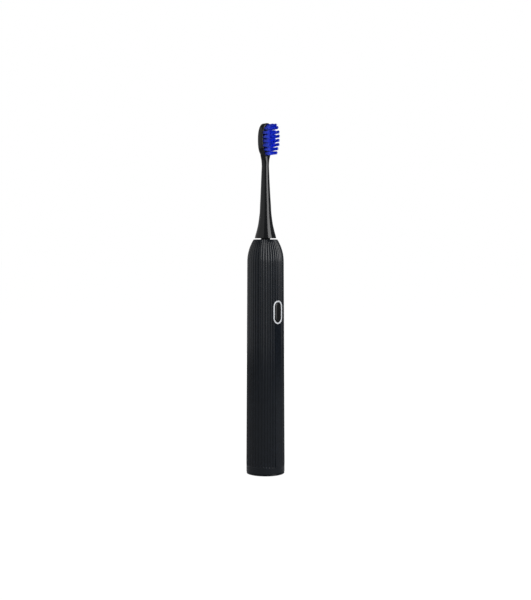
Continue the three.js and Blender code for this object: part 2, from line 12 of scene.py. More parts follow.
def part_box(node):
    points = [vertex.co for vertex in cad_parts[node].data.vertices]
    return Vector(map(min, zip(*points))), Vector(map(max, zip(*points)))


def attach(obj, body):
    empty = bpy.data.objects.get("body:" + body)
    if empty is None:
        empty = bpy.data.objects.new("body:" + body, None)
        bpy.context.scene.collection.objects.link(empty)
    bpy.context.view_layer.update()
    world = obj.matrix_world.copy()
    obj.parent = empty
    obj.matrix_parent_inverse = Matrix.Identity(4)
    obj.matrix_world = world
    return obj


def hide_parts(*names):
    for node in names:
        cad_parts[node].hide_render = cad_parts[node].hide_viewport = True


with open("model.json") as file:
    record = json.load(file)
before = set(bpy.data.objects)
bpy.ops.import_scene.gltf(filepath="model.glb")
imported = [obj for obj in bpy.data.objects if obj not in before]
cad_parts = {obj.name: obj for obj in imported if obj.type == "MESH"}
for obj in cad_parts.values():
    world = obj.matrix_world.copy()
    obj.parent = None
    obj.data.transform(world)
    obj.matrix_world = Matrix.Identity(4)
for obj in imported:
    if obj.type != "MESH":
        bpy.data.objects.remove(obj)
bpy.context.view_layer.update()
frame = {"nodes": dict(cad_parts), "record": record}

MM = 0.001
PALE = 0.13  # brightness of the studio walls, as light that falls on the object
SEED = 7
SHARP_DEG = 35  # edges that are sharper than this stay crisp

# ---- Driving dimensions in millimetres, as in the CAD model ------------------------------------------
SHELL_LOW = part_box("handle_shell")[0].z / MM
SHELL_EDGE = 0.12
SHELL_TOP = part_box("handle_shell")[1].z / MM
FOOT_R = 13.35
BAND_TOP = 5.7
RIB_FULL_Z = 6.9
RIB_FOOT_R = 13.4
RIB_TOP_R = 12.68
SHOULDER_Z = 147.0
CROWN_R = 8.4
CROWN_EDGE = 0.3
SHOULDER_POWER = 2.2
RIB_COUNT = 40
RIB_DEPTH = 0.42
STEPS_PER_RIB = 16
STRIP_RIBS = 3
STRIP_SINK = 0.4
STRIP_FADE_Z = 14.0
STRIP_CROWN_R = 34.0
BORE_R = 10.8
CEILING_Z = 160.4
NECK_HOLE_R = 3.75

BUTTON_Z = 113.1
RING_WIDTH = 8.5
RING_HEIGHT = 16.4
RING_BAND = 1.2
RING_FACE = 12.38
RING_BACK = 10.0
RING_ROUND = 0.22
WINDOW_GAP = 0.1
BUTTON_CLEARANCE = 0.7
BUTTON_FACE = 12.35
BUTTON_BACK = 9.9
BUTTON_CROWN_R = 8.0
BUTTON_ROUND = 0.3
BUTTON_DISH = 0.12
STEM_R = 1.1
STEM_END = 8.95

SOCKET_R = 3.8
SOCKET_DEPTH = 12.0
PLUG_R = 10.5
PLUG_TOP = 12.5
SEAL_Z = 5.5
SEAL_SECTION_R = 0.5

CELL_Y = 1.5
CELL_R = 7.0
CELL_FOOT_R = 6.0
CELL_RIM_R = 5.2
CELL_NUB_R = 2.5
SHAFT_R = 1.5
SHAFT_FLAT_Y = 0.9
SHAFT_FLAT_Z = 171.0
SHAFT_GAP = 0.05
BEARING_R = 2.55
MOTOR_LID_R = 5.75
MOTOR_CASE_R = 6.3

SCREW_R = 0.7
SCREW_CORE_R = 0.55
SCREW_TIP = 3.5
THREAD_START = 4.0
THREAD_PITCH = 0.3
THREAD_COUNT = 12
SCREW_HEAD_R = 1.3
SCREW_HEAD_LOW = 7.75
SCREW_HEAD_TOP = 8.2

HEAD_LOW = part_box("head_body")[0].z / MM
HEAD_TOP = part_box("head_body")[1].z / MM
PLATE_HALF_WIDTH = 5.8
PLATE_HALF_HEIGHT = 11.6
PLATE_FRONT = 2.5
PLATE_BACK = 2.85
PLATE_BACK_ROUND = 2.0
PLATE_FRONT_ROUND = 0.85
PLATE_POWER = 2.3
HEAD_MOUTH_R = 5.9
HEAD_MOUTH_TOP_R = 4.4
HEAD_MOUTH_TOP = 168.2
HEAD_SOCKET_R = 2.7
HEAD_SOCKET_TOP = 186.3
NECK_BEND_Z = (180, 205)
NECK_FLATTEN_Z = (212, 218)
NECK_PROFILE = [
    (7.55, HEAD_LOW), (7.1, 165.8), (6.4, 168.2), (5.75, 170.8), (5.2, 173.2), (4.5, 177.9),
    (4.05, 182.0), (3.78, 187.5), (3.5, 192.0), (3.05, 201.5), (2.7, 210.0), (2.55, 214.5),
]
SPREAD_PROFILE = [(2.95, 217.7), (3.5, 219.2), (4.05, 221.0), (4.5, 224.0), (4.6, 228.0)]

TUFT_HOLE_R = 0.9
TUFT_HOLE_END = 0.8
TUFT_COUNT = 27
TUFT_ROOT_Y = -0.85
TUFT_TIP_Y = -9.25
TUFT_LEAN = 0.35
FILAMENTS_PER_TUFT = 64
FILAMENT_R = 0.085
FILAMENT_SIDES = 5
GOLDEN_ANGLE = math.pi * (3 - math.sqrt(5))

FLOOR_R = 6000
FLOOR_Z = -0.02
FLOOR_BRIGHTNESS = 0.98
FLOOR_REFLECTION = (0.18, 0.05)  # brightness in reflections, near the foot and far from it
FLOOR_FADE = (0.3, 0.75)  # metres from the foot between which the reflection fades
CAMERA_AZIMUTH = -45  # degrees round from the brush's front, negative to its left

# Softboxes: name, degrees to the right of the camera, then in metres distance, width, lowest edge
# and highest edge, and last brightness.
PANELS = [
    ("left_front_softbox", -50, 0.8, 0.95, 0.0, 0.85, 0.4),
    ("left_back_softbox", -119, 0.8, 1.2, 0.0, 0.85, 0.4),
    ("back_softbox", 180, 0.8, 0.45, 0.0, 0.9, 1.2),
    ("right_softbox", 53, 0.8, 0.6, 0.19, 1.1, 4.0),
    ("right_softbox_edge", 53, 0.8, 0.6, 0.13, 0.19, 1.9),
    ("right_softbox_foot", 53, 0.8, 0.6, 0.0, 0.13, 0.9),
]


# ---- Mesh helpers ------------------------------------------------------------------------------------
def make_object(name, vertices, faces, sharp_deg=SHARP_DEG):
    """A smooth-shaded mesh object from points in millimetres, with its sharp edges kept crisp."""
    mesh = bpy.data.meshes.new(name)
    mesh.from_pydata([Vector(v) * MM for v in vertices], [], faces)
    mesh.validate()
    tidy_normals(mesh)
    mesh.shade_smooth()
    mesh.set_sharp_from_angle(angle=math.radians(sharp_deg))
    made = bpy.data.objects.new(name, mesh)
    bpy.context.scene.collection.objects.link(made)
    return made


def tidy_normals(mesh):
    """Merges doubled points, drops degenerate edges and turns every face outwards."""
    work = bmesh.new()
    work.from_mesh(mesh)
    bmesh.ops.remove_doubles(work, verts=work.verts, dist=1e-7)
    bmesh.ops.dissolve_degenerate(work, edges=work.edges, dist=1e-8)
    bmesh.ops.recalc_face_normals(work, faces=work.faces)
    work.to_mesh(mesh)
    work.free()


def bake(made):
    """Applies the object's modifiers to its mesh."""
    graph = bpy.context.evaluated_depsgraph_get()
    mesh = bpy.data.meshes.new_from_object(made.evaluated_get(graph))
    made.modifiers.clear()
    made.data = mesh
    mesh.shade_smooth()
    mesh.set_sharp_from_angle(angle=math.radians(SHARP_DEG))


def cut(made, tools, operation="DIFFERENCE"):
    """Cuts the tool objects from made, or joins them to it, and removes them."""
    for tool in tools:
        boolean = made.modifiers.new("cut", "BOOLEAN")
        boolean.operation = operation
        boolean.solver = "EXACT"
        boolean.object = tool
    bake(made)
    for tool in tools:
        bpy.data.objects.remove(tool)
    return made


def fillet(points, radius, steps=5):
    """Rounds each inner corner of an open outline, by radius or as much as its sides allow."""
    outline = [Vector(p) for p in points]
    result = [outline[0]]
    for before, corner, after in zip(outline, outline[1:], outline[2:]):
        to_before = before - corner
        to_after = after - corner
        reach = min(radius, to_before.length * 0.45, to_after.length * 0.45)
        start = corner + to_before.normalized() * reach
        end = corner + to_after.normalized() * reach
        for i in range(steps + 1):
            t = i / steps
            result.append(start * (1 - t) ** 2 + corner * 2 * t * (1 - t) + end * t ** 2)
    result.append(outline[-1])
    return [tuple(p) for p in result]


def turned(name, outline, sides=96):
    """Turns an outline of (radius, z) about Z. It starts and ends on the axis, or is a closed ring."""
    on_axis = outline[0][0] < 1e-6
    rings = []
    vertices = []
    for radius, z in outline if on_axis else outline[:-1]:
        if radius < 1e-6:
            rings.append([len(vertices)] * sides)
            vertices.append((0, 0, z))
            continue
        rings.append([len(vertices) + i for i in range(sides)])
        for i in range(sides):
            turn = 2 * math.pi * i / sides
            vertices.append((radius * math.sin(turn), -radius * math.cos(turn), z))
    if not on_axis:
        rings.append(rings[0])
    faces = []
    for low, high in zip(rings, rings[1:]):
        for i in range(sides):
            n = (i + 1) % sides
            corners = list(dict.fromkeys([low[i], low[n], high[n], high[i]]))
            if len(corners) > 2:
                faces.append(corners)
    return make_object(name, vertices, faces)


def ring_outline(inner, outer, low, high, radius):
    seam = (inner, (low + high) / 2)
    corners = [seam, (inner, low), (outer, low), (outer, high), (inner, high), seam]
    return fillet(corners, radius)


def disc_outline(radius, low, high, edge=0.2):
    return fillet([(0, low), (radius, low), (radius, high), (0, high)], edge)


def skinned(name, loops, closed_stack=False):
    """Skins a stack of loops with equal numbers of points, and joins its ends or caps them."""
    sides = len(loops[0])
    last = len(loops) - 1
    vertices = [p for loop in loops for p in loop]
    faces = []
    pairs = [(i, i + 1) for i in range(last)]
    if closed_stack:
        pairs.append((last, 0))
    for a, b in pairs:
        for i in range(sides):
            n = (i + 1) % sides
            faces.append((a * sides + i, a * sides + n, b * sides + n, b * sides + i))
    if not closed_stack:
        for start in (0, last * sides):
            rim = vertices[start:start + sides]
            middle = len(vertices)
            vertices.append(tuple(sum(p[k] for p in rim) / sides for k in range(3)))
            faces += [(start + i, start + (i + 1) % sides, middle) for i in range(sides)]
    return make_object(name, vertices, faces)


def pill_loop(width, height, arc_steps=24, side_steps=12):
    """Points (x, z, outward x, outward z) round an upright pill about the button's centre."""
    radius = width / 2
    rise = (height - width) / 2
    loop = []
    for centre_sign, start in ((1, 0), (-1, math.pi)):
        for i in range(arc_steps):
            turn = start + math.pi * i / arc_steps
            out = (math.cos(turn), math.sin(turn))
            loop.append((radius * out[0], BUTTON_Z + centre_sign * rise + radius * out[1], *out))
        side = math.cos(start + math.pi)
        for i in range(side_steps):
            z = BUTTON_Z + centre_sign * rise * (1 - 2 * i / side_steps)
            loop.append((radius * side, z, side, 0.0))
    return loop


def pill_prism(name, width, height, front, back):
    loop = pill_loop(width, height)
    return skinned(name, [[(x, -depth, z) for x, z, *_ in loop] for depth in (front, back)])


def lerp(a, b, t):
    return a + (b - a) * t


def smoothstep(low, high, value):
    t = min(max((value - low) / (high - low), 0.0), 1.0)
    return t * t * (3 - 2 * t)


def spaced(low, high, count):
    return [lerp(low, high, i / (count - 1)) for i in range(count)]


def quarter_turn(steps):
    """Angles from 0 to 90 degrees in equal steps."""
    return [math.pi / 2 * i / steps for i in range(steps + 1)]


def laid_forward(made, x, z):
    """Turns a piece made along Z to point to the front, with its axis through x and z."""
    made.data.transform(Matrix.Rotation(math.radians(90), 4, "X"))
    made.data.transform(Matrix.Translation((x * MM, 0, z * MM)))
    return made


# ---- Materials ---------------------------------------------------------------------------------------
def principled(name, color, roughness, **sockets):
    material = bpy.data.materials.new(name)
    material.use_nodes = True
    shader = material.node_tree.nodes["Principled BSDF"]
    shader.inputs["Base Color"].default_value = (*color, 1)
    shader.inputs["Roughness"].default_value = roughness
    for socket, value in sockets.items():
        shader.inputs[socket.replace("_", " ")].default_value = value
    return material, shader


def add_node(material, kind, **settings):
    node = material.node_tree.nodes.new(kind)
    for setting, value in settings.items():
        setattr(node, setting, value)
    return node


def noise_of(material, scale, detail=3.0, stretch=(1, 1, 1)):
    """A noise pattern fixed to the object, scale in cycles per metre."""
    place = add_node(material, "ShaderNodeTexCoord")
    mapping = add_node(material, "ShaderNodeMapping")
    mapping.inputs["Scale"].default_value = stretch
    noise = add_node(material, "ShaderNodeTexNoise")
    noise.inputs["Scale"].default_value = scale
    noise.inputs["Detail"].default_value = detail
    links = material.node_tree.links
    links.new(place.outputs["Object"], mapping.inputs["Vector"])
    links.new(mapping.outputs["Vector"], noise.inputs["Vector"])
    return noise.outputs["Fac"]


def ramped(material, value, low, high, start=0.3, end=0.7):
    """Maps a pattern to a number between low and high."""
    span = add_node(material, "ShaderNodeMapRange")
    span.inputs["From Min"].default_value = start
    span.inputs["From Max"].default_value = end
    span.inputs["To Min"].default_value = low
    span.inputs["To Max"].default_value = high
    material.node_tree.links.new(value, span.inputs["Value"])
    return span.outputs["Result"]


def mixed_color(material, value, dark, light, start=0.3, end=0.7):
    ramp = add_node(material, "ShaderNodeValToRGB")
    ramp.color_ramp.elements[0].position = start
    ramp.color_ramp.elements[0].color = (*dark, 1)
    ramp.color_ramp.elements[1].position = end
    ramp.color_ramp.elements[1].color = (*light, 1)
    material.node_tree.links.new(value, ramp.inputs["Fac"])
    return ramp.outputs["Color"]


def add_bump(material, shader, value, strength, distance):
    bump = add_node(material, "ShaderNodeBump")
    bump.inputs["Strength"].default_value = strength
    bump.inputs["Distance"].default_value = distance
    links = material.node_tree.links
    links.new(value, bump.inputs["Height"])
    links.new(bump.outputs["Normal"], shader.inputs["Normal"])


def moulded(name, dark, light, rough_low, rough_high, grain=9000, grain_strength=0.08, **sockets):
    """Moulded plastic or rubber: faint mottling, uneven sheen and a fine grain."""
    material, shader = principled(name, light, rough_high, **sockets)
    links = material.node_tree.links
    mottle = noise_of(material, 220)
    links.new(mixed_color(material, mottle, dark, light), shader.inputs["Base Color"])
    sheen = noise_of(material, 700, detail=5.0)
    links.new(ramped(material, sheen, rough_low, rough_high), shader.inputs["Roughness"])
    add_bump(material, shader, noise_of(material, grain, detail=2.0), grain_strength, 0.00002)
    return material


def metal(name, dark, light, rough_low, rough_high, stretch=(1, 1, 1), metallic=1.0):
    """Machined or plated metal, brushed along the axis whose stretch is smallest."""
    material, shader = principled(name, light, rough_high, Metallic=metallic)
    links = material.node_tree.links
    streaks = noise_of(material, 2500, detail=4.0, stretch=stretch)
    links.new(mixed_color(material, streaks, dark, light), shader.inputs["Base Color"])
    links.new(ramped(material, streaks, rough_low, rough_high), shader.inputs["Roughness"])
    add_bump(material, shader, streaks, 0.06, 0.00002)
    return material


def make_bristle_nylon():
    """Translucent blue nylon, each filament a little different, with painted shade: darker towards the
    roots, where the tufts crowd, and darker again at the very tips.
    """
    material, shader = principled(
        "bristle_nylon", (0.02, 0.05, 0.8), 0.32,
        Subsurface_Weight=0.35, Subsurface_Scale=0.0004, IOR=1.53)
    shader.inputs["Subsurface Radius"].default_value = (0.15, 0.25, 1.0)
    links = material.node_tree.links
    place = add_node(material, "ShaderNodeTexCoord")
    split = add_node(material, "ShaderNodeSeparateXYZ")
    links.new(place.outputs["Object"], split.inputs["Vector"])
    # Painted shade: the colour darkens from the tips towards the roots, where the tufts crowd together.
    along = ramped(material, split.outputs["Y"], 0.75, 0.0, start=-9.0 * MM, end=-2.5 * MM)
    strands = noise_of(material, 3500, detail=2.0, stretch=(1, 0.05, 1))
    blend = add_node(material, "ShaderNodeMath", operation="MULTIPLY_ADD")
    links.new(strands, blend.inputs[0])
    blend.inputs[1].default_value = 0.5
    links.new(along, blend.inputs[2])
    color = mixed_color(
        material, blend.outputs["Value"], (0.0, 0.006, 0.24), (0.024, 0.08, 1.0), start=0.1, end=0.85)
    links.new(color, shader.inputs["Base Color"])
    # Painted shade: a darker navy at the very tips.
    tip = color.node.color_ramp.elements.new(1.0)
    tip.color = (0.008, 0.03, 0.55, 1)
    return material


def make_enamelled_wire():
    material = metal(
        "enamelled_copper", (0.42, 0.16, 0.06), (0.72, 0.33, 0.15), 0.18, 0.3, stretch=(1, 1, 3))
    shader = material.node_tree.nodes["Principled BSDF"]
    shader.inputs["Coat Weight"].default_value = 0.6
    shader.inputs["Coat Roughness"].default_value = 0.12
    return material


def make_circuit_board():
    """Solder mask over copper tracks: slightly raised lighter lines on dark green."""
    material, shader = principled(
        "solder_mask", (0.01, 0.11, 0.05), 0.35, Coat_Weight=0.3, Coat_Roughness=0.2)
    links = material.node_tree.links
    place = add_node(material, "ShaderNodeTexCoord")
    tracks = add_node(material, "ShaderNodeTexBrick")
    tracks.inputs["Scale"].default_value = 420
    tracks.inputs["Mortar Size"].default_value = 0.06
    tracks.inputs["Color1"].default_value = (0.006, 0.07, 0.035, 1)
    tracks.inputs["Color2"].default_value = (0.008, 0.085, 0.04, 1)
    tracks.inputs["Mortar"].default_value = (0.03, 0.19, 0.09, 1)
    turn = add_node(material, "ShaderNodeMapping")
    turn.inputs["Rotation"].default_value = (math.radians(90), 0, 0)
    links.new(place.outputs["Object"], turn.inputs["Vector"])
    links.new(turn.outputs["Vector"], tracks.inputs["Vector"])
    links.new(tracks.outputs["Color"], shader.inputs["Base Color"])
    add_bump(material, shader, tracks.outputs["Fac"], 0.2, 0.00003)
    return material


SATIN_BLACK = moulded(
    "satin_black_plastic", (0.0027, 0.0045, 0.0074), (0.0042, 0.0065, 0.0106), 0.13, 0.18,
    grain_strength=0.03)
HEAD_BLACK = moulded(
    "semi_gloss_black_plastic", (0.004, 0.0043, 0.005), (0.006, 0.0065, 0.0075), 0.09, 0.13,
    grain_strength=0.03)
BUTTON_BLACK = moulded(
    "polished_black_plastic", (0.004, 0.0045, 0.005), (0.006, 0.0065, 0.0075), 0.1, 0.16,
    grain_strength=0.01, Coat_Weight=0.3, Coat_Roughness=0.05)
RING_SILVER = metal("satin_silver", (0.6, 0.62, 0.65), (0.7, 0.72, 0.75), 0.3, 0.4, metallic=0.25)
NYLON = make_bristle_nylon()
BLACK_RUBBER = moulded(
    "black_rubber", (0.008, 0.008, 0.009), (0.016, 0.016, 0.017), 0.6, 0.75,
    grain=5000, grain_strength=0.2)
GREY_PLASTIC = moulded("grey_plastic", (0.23, 0.245, 0.26), (0.3, 0.315, 0.33), 0.4, 0.5)
STEEL = metal("bright_steel", (0.5, 0.51, 0.53), (0.62, 0.63, 0.65), 0.16, 0.3, stretch=(1, 1, 6))
NICKEL = metal("nickel_strip", (0.55, 0.53, 0.48), (0.66, 0.64, 0.58), 0.2, 0.32, stretch=(6, 1, 1))
COPPER = make_enamelled_wire()
BRONZE = metal("sintered_bronze", (0.34, 0.2, 0.08), (0.5, 0.32, 0.14), 0.35, 0.55)
MAGNET = metal("nickel_plated_magnet", (0.42, 0.42, 0.42), (0.55, 0.55, 0.56), 0.12, 0.22)
BOARD_GREEN = make_circuit_board()
CHIP_BLACK = moulded("chip_epoxy", (0.01, 0.01, 0.011), (0.02, 0.02, 0.022), 0.55, 0.7, grain=16000)
LED_WHITE = moulded(
    "led_resin", (0.7, 0.7, 0.62), (0.82, 0.82, 0.76), 0.15, 0.25, Subsurface_Weight=0.3)
CELL_SLEEVE = moulded(
    "shrink_sleeve", (0.012, 0.11, 0.2), (0.018, 0.15, 0.27), 0.22, 0.32,
    grain=1500, grain_strength=0.15)
FOAM = moulded(
    "grey_foam", (0.06, 0.062, 0.066), (0.12, 0.125, 0.13), 0.85, 0.95,
    grain=3000, grain_strength=0.8)


# ---- Placing pieces on the frame ---------------------------------------------------------------------
BODIES = frame["record"]["behaviour"]["bodies"]
BODY_OF = {node: body for body, nodes in BODIES.items() for node in nodes}


def stands_for(piece, node, material):
    """The piece takes the CAD node's place, body and material slot."""
    piece.data.materials.clear()
    piece.data.materials.append(material)
    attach(piece, BODY_OF[node])
    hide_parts(node)
    return piece


def dress(node, material, bevel=0.0):
    """Keeps the CAD node and gives it a finish and, where bevel is set, softened edges."""
    cad = frame["nodes"][node]
    cad.data.materials.clear()
    cad.data.materials.append(material)
    if bevel:
        soften = cad.modifiers.new("edges", "BEVEL")
        soften.width = bevel * MM
        soften.segments = 2
        soften.limit_method = "ANGLE"
        soften.angle_limit = math.radians(40)


def z_range(node):
    low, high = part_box(node)
    return low.z / MM, high.z / MM


# ---- Handle shell ------------------------------------------------------------------------------------
def crest_radius(z):
    """Radius of the rib crests at height z."""
    if z <= RIB_FULL_Z:
        return lerp(FOOT_R, RIB_FOOT_R, smoothstep(BAND_TOP, RIB_FULL_Z, z))
    if z <= SHOULDER_Z:
        return lerp(RIB_FOOT_R, RIB_TOP_R, (z - RIB_FULL_Z) / (SHOULDER_Z - RIB_FULL_Z))
    rise = min((z - SHOULDER_Z) / (SHELL_TOP - CROWN_EDGE - SHOULDER_Z), 1.0)
    return RIB_TOP_R - (RIB_TOP_R - CROWN_R) * rise ** SHOULDER_POWER


def groove_share(z):
    """How much of their depth the grooves have at height z. They end in scoops above the foot band."""
    if z <= BAND_TOP:
        return 0.0
    if z >= RIB_FULL_Z:
        return 1.0
    left = (RIB_FULL_Z - z) / (RIB_FULL_Z - BAND_TOP)
    return math.sqrt(1 - left * left)


def strip_radius(angle, middle):
    """Radius of the slightly crowned strip at an angle from the front."""
    bend = math.sin(angle) ** 2 / (2 * STRIP_CROWN_R)
    cos = math.cos(angle)
    return middle if bend < 1e-9 else (math.sqrt(cos * cos + 4 * bend * middle) - cos) / (2 * bend)


def ribbed_radius(angle, z):
    """Radius of the outside at an angle from the front: crests and grooves, or the smooth strip."""
    crest = crest_radius(z)
    pitch = 2 * math.pi / RIB_COUNT
    if z < BUTTON_Z and abs(angle) < STRIP_RIBS / 2 * pitch - 1e-6:
        middle = crest - STRIP_SINK
        return lerp(crest, strip_radius(angle, middle), smoothstep(BAND_TOP, STRIP_FADE_Z, z))
    offset = abs(angle / pitch - round(angle / pitch)) * 2
    depth = RIB_DEPTH * crest / RIB_FOOT_R * groove_share(z)
    return crest - depth * offset ** 2


def shell_heights():
    """Heights of the loops, closest together where the outline or the grooves change."""
    foot = [SHELL_LOW + SHELL_EDGE, 2.5, 4.0, BAND_TOP - 0.06, BAND_TOP]
    scoops = [lerp(BAND_TOP, RIB_FULL_Z, 1 - math.cos(turn)) for turn in quarter_turn(8)[1:]]
    strip = spaced(RIB_FULL_Z + 0.8, STRIP_FADE_Z, 8) + [30.0, 50.0, 70.0, 88.0, 98.0]
    window_low, window_high = 102.5, 124.5
    window = spaced(window_low, BUTTON_Z - 0.05, 11) + spaced(BUTTON_Z + 0.05, window_high, 11)
    upper = [128.0, 134.0, 140.0, 144.0, SHOULDER_Z]
    dome = spaced(SHOULDER_Z, SHELL_TOP - CROWN_EDGE, 26)[1:]
    return foot + scoops + strip + window + upper + dome


def shell_loop(z, radius_at):
    sides = RIB_COUNT * STEPS_PER_RIB
    loop = []
    for i in range(sides):
        angle = (i / sides - 0.5) * 2 * math.pi
        radius = radius_at(angle, z)
        loop.append((radius * math.sin(angle), -radius * math.cos(angle), z))
    return loop


def make_handle_shell():
    """The ribbed outside from foot to rim, the bore back down, and the button's window cut through."""
    loops = [shell_loop(SHELL_LOW, lambda a, z: FOOT_R - SHELL_EDGE)]
    loops += [shell_loop(z, ribbed_radius) for z in shell_heights()]
    rim = SHELL_TOP - CROWN_EDGE
    smooth_r = CROWN_R - RIB_DEPTH * 0.4
    for turn in quarter_turn(5)[1:]:
        inset = CROWN_EDGE * 1.6 * (1 - math.cos(turn))
        flatten = math.sin(turn)
        loops.append(shell_loop(
            rim + CROWN_EDGE * flatten,
            lambda a, z: lerp(ribbed_radius(a, rim), smooth_r, flatten * 0.8) - inset))
    bore = [
        (NECK_HOLE_R + 0.3, SHELL_TOP), (NECK_HOLE_R, SHELL_TOP - 0.3), (NECK_HOLE_R, CEILING_Z),
        (6.9, CEILING_Z), (9.0, 156.0), (BORE_R - 0.6, 151.5), (BORE_R, 148.0), (BORE_R, SHELL_LOW),
    ]
    loops += [shell_loop(z, lambda a, _, r=r: r) for r, z in bore]
    shell = skinned("handle_casing", loops, closed_stack=True)
    window = pill_prism("window", RING_WIDTH + 2 * WINDOW_GAP, RING_HEIGHT + 2 * WINDOW_GAP, 15, 5)
    return cut(shell, [window])


# ---- Base --------------------------------------------------------------------------------------------
def make_base_cap():
    """A flange, a plug with a groove for the seal, the charging socket and the coil's well."""
    well_inner, well_outer, groove_r = SOCKET_R + 1.3, PLUG_R - 1.6, PLUG_R - 0.95
    groove_half = SEAL_SECTION_R + 0.15
    foot_r, flange_top, well_floor = FOOT_R - 0.1, 1.0, 1.8
    corners = [
        (0, SOCKET_DEPTH), (SOCKET_R, SOCKET_DEPTH), (SOCKET_R, 0), (foot_r, 0), (foot_r, flange_top),
        (PLUG_R, flange_top), (PLUG_R, SEAL_Z - groove_half), (groove_r, SEAL_Z - groove_half),
        (groove_r, SEAL_Z + groove_half), (PLUG_R, SEAL_Z + groove_half), (PLUG_R, PLUG_TOP),
        (well_outer, PLUG_TOP), (well_outer, well_floor), (well_inner, well_floor),
        (well_inner, SOCKET_DEPTH + 1.5), (0, SOCKET_DEPTH + 1.5),
    ]
    return turned("foot_cap", fillet(corners, 0.25), sides=160)


def make_base_seal():
    centre_r = BORE_R - SEAL_SECTION_R - 0.1
    outline = []
    for turn in spaced(0, 2 * math.pi, 17):
        radius = centre_r + SEAL_SECTION_R * math.cos(turn)
        outline.append((radius, SEAL_Z + SEAL_SECTION_R * math.sin(turn)))
    return turned("o_ring", outline)


# ---- Button ------------------------------------------------------------------------------------------
def crowned(face, crown_r, x):
    """The y of a front face that bends back to both sides of x = 0."""
    return -(face - x * x / (2 * crown_r))


def make_button_ring():
    """A band with rounded edges, swept round the pill and bent to the handle's front."""
    half = RING_BAND / 2
    depth = RING_FACE - RING_BACK
    corners = [(0, depth), (-half, depth), (-half, 0), (half, 0), (half, depth), (0, depth)]
    section = fillet(corners, RING_ROUND * 2)[:-1]
    loops = []
    for x, z, out_x, out_z in pill_loop(RING_WIDTH - RING_BAND, RING_HEIGHT - RING_BAND):
        loop = []
        for offset, back in section:
            px = x + out_x * offset
            share = 1 - back / depth
            y = lerp(-RING_BACK, crowned(RING_FACE, STRIP_CROWN_R, px), share)
            loop.append((px, y, z + out_z * offset))
        loops.append(loop)
    return skinned("button_bezel", loops, closed_stack=True)


def blacken_inner_wall(ring):
    """Gives the ring's inner wall, under its rounded edge, the second material."""
    ring.data.materials.append(BUTTON_BLACK)
    rise = (RING_HEIGHT - RING_WIDTH) / 2
    middle = (RING_WIDTH - RING_BAND) / 2
    for face in ring.data.polygons:
        x, y, z = face.center / MM
        reach = math.hypot(x, max(abs(z - BUTTON_Z) - rise, 0))
        below = y - crowned(RING_FACE, STRIP_CROWN_R, x)
        if reach < middle and below > RING_ROUND:
            face.material_index = 1


def make_button_cap():
    """A pill-shaped cap with a rounded edge and a crowned, polished face, on a round stem."""
    width = RING_WIDTH - 2 * (RING_BAND + BUTTON_CLEARANCE)
    height = RING_HEIGHT - 2 * (RING_BAND + BUTTON_CLEARANCE)
    insets = [(0, None)]
    for turn in quarter_turn(6):
        insets.append((BUTTON_ROUND * (1 - math.cos(turn)), BUTTON_ROUND * (1 - math.sin(turn))))
    insets += [(inset, 0) for inset in spaced(BUTTON_ROUND + 0.2, width / 2 - 0.02, 8)]
    loops = []
    for inset, drop in insets:
        loop = []
        for x, z, *_ in pill_loop(width - 2 * inset, height - 2 * inset):
            face = crowned(BUTTON_FACE, BUTTON_CROWN_R, x)
            dish = BUTTON_DISH * ((z - BUTTON_Z) / (height / 2)) ** 2
            loop.append((x, -BUTTON_BACK if drop is None else face + drop + dish, z))
        loops.append(loop)
    cap = skinned("button_key", loops)
    stem = turned("stem", disc_outline(STEM_R, STEM_END, BUTTON_BACK + 0.5), sides=48)
    return cut(cap, [laid_forward(stem, 0, BUTTON_Z)], operation="UNION")


# ---- Neck seal ---------------------------------------------------------------------------------------
def make_shaft_seal():
    """A soft boot with a fold in its neck, held by a flange under the shoulder."""
    low, high = z_range("shaft_seal")
    bore, flange_r, neck_r = SHAFT_R + 0.35, 6.2, NECK_HOLE_R - 0.3
    flange_top, fold_z = low + 1.3, 163.3
    corners = [
        (bore, low + 2), (bore, low), (flange_r, low), (flange_r, flange_top), (neck_r, flange_top),
        (neck_r, fold_z - 0.4), (neck_r - 0.45, fold_z), (neck_r, fold_z + 0.5), (neck_r, high - 0.5),
        (neck_r - 0.6, high), (bore, high), (bore, low + 2),
    ]
    return turned("neck_boot", fillet(corners, 0.3))


# ---- Brush head --------------------------------------------------------------------------------------
def smooth_profile(points, per_span=6):
    """A Catmull-Rom curve through (radius, z) points."""
    padded = [points[0], *points, points[-1]]
    curve = []
    for p0, p1, p2, p3 in zip(padded, padded[1:], padded[2:], padded[3:]):
        for i in range(per_span):
            t = i / per_span
            curve.append(tuple(
                0.5 * (2 * b + (c - a) * t + (2 * a - 5 * b + 4 * c - d) * t ** 2
                       + (3 * b - a - 3 * c + d) * t ** 3)
                for a, b, c, d in zip(p0, p1, p2, p3)))
    return curve + [points[-1]]


def make_neck():
    """The round tapering neck, which flattens and sets back a little where it meets the plate."""
    plate_depth = (PLATE_FRONT + PLATE_BACK) / 2 - 0.05
    loops = []
    for half_width, z in smooth_profile(NECK_PROFILE + SPREAD_PROFILE):
        half_depth = lerp(half_width, plate_depth, smoothstep(*NECK_FLATTEN_Z, z))
        set_back = (PLATE_BACK - PLATE_FRONT) / 2 * smoothstep(*NECK_BEND_Z, z)
        loop = []
        for i in range(64):
            turn = 2 * math.pi * i / 64
            loop.append((half_width * math.sin(turn), set_back - half_depth * math.cos(turn), z))
        loops.append(loop)
    return skinned("neck", loops)


def plate_loop(y, inset, sides=128):
    """The plate's outline at depth y, drawn in by inset: a slightly squared oval."""
    centre_z = HEAD_TOP - PLATE_HALF_HEIGHT
    half_width, half_height = PLATE_HALF_WIDTH - inset, PLATE_HALF_HEIGHT - inset
    loop = []
    for i in range(sides):
        turn = 2 * math.pi * i / sides
        bulge_x, bulge_z = (
            math.copysign(abs(v) ** (2 / PLATE_POWER), v) for v in (math.sin(turn), math.cos(turn)))
        loop.append((half_width * bulge_x, y, centre_z + half_height * bulge_z))
    return loop


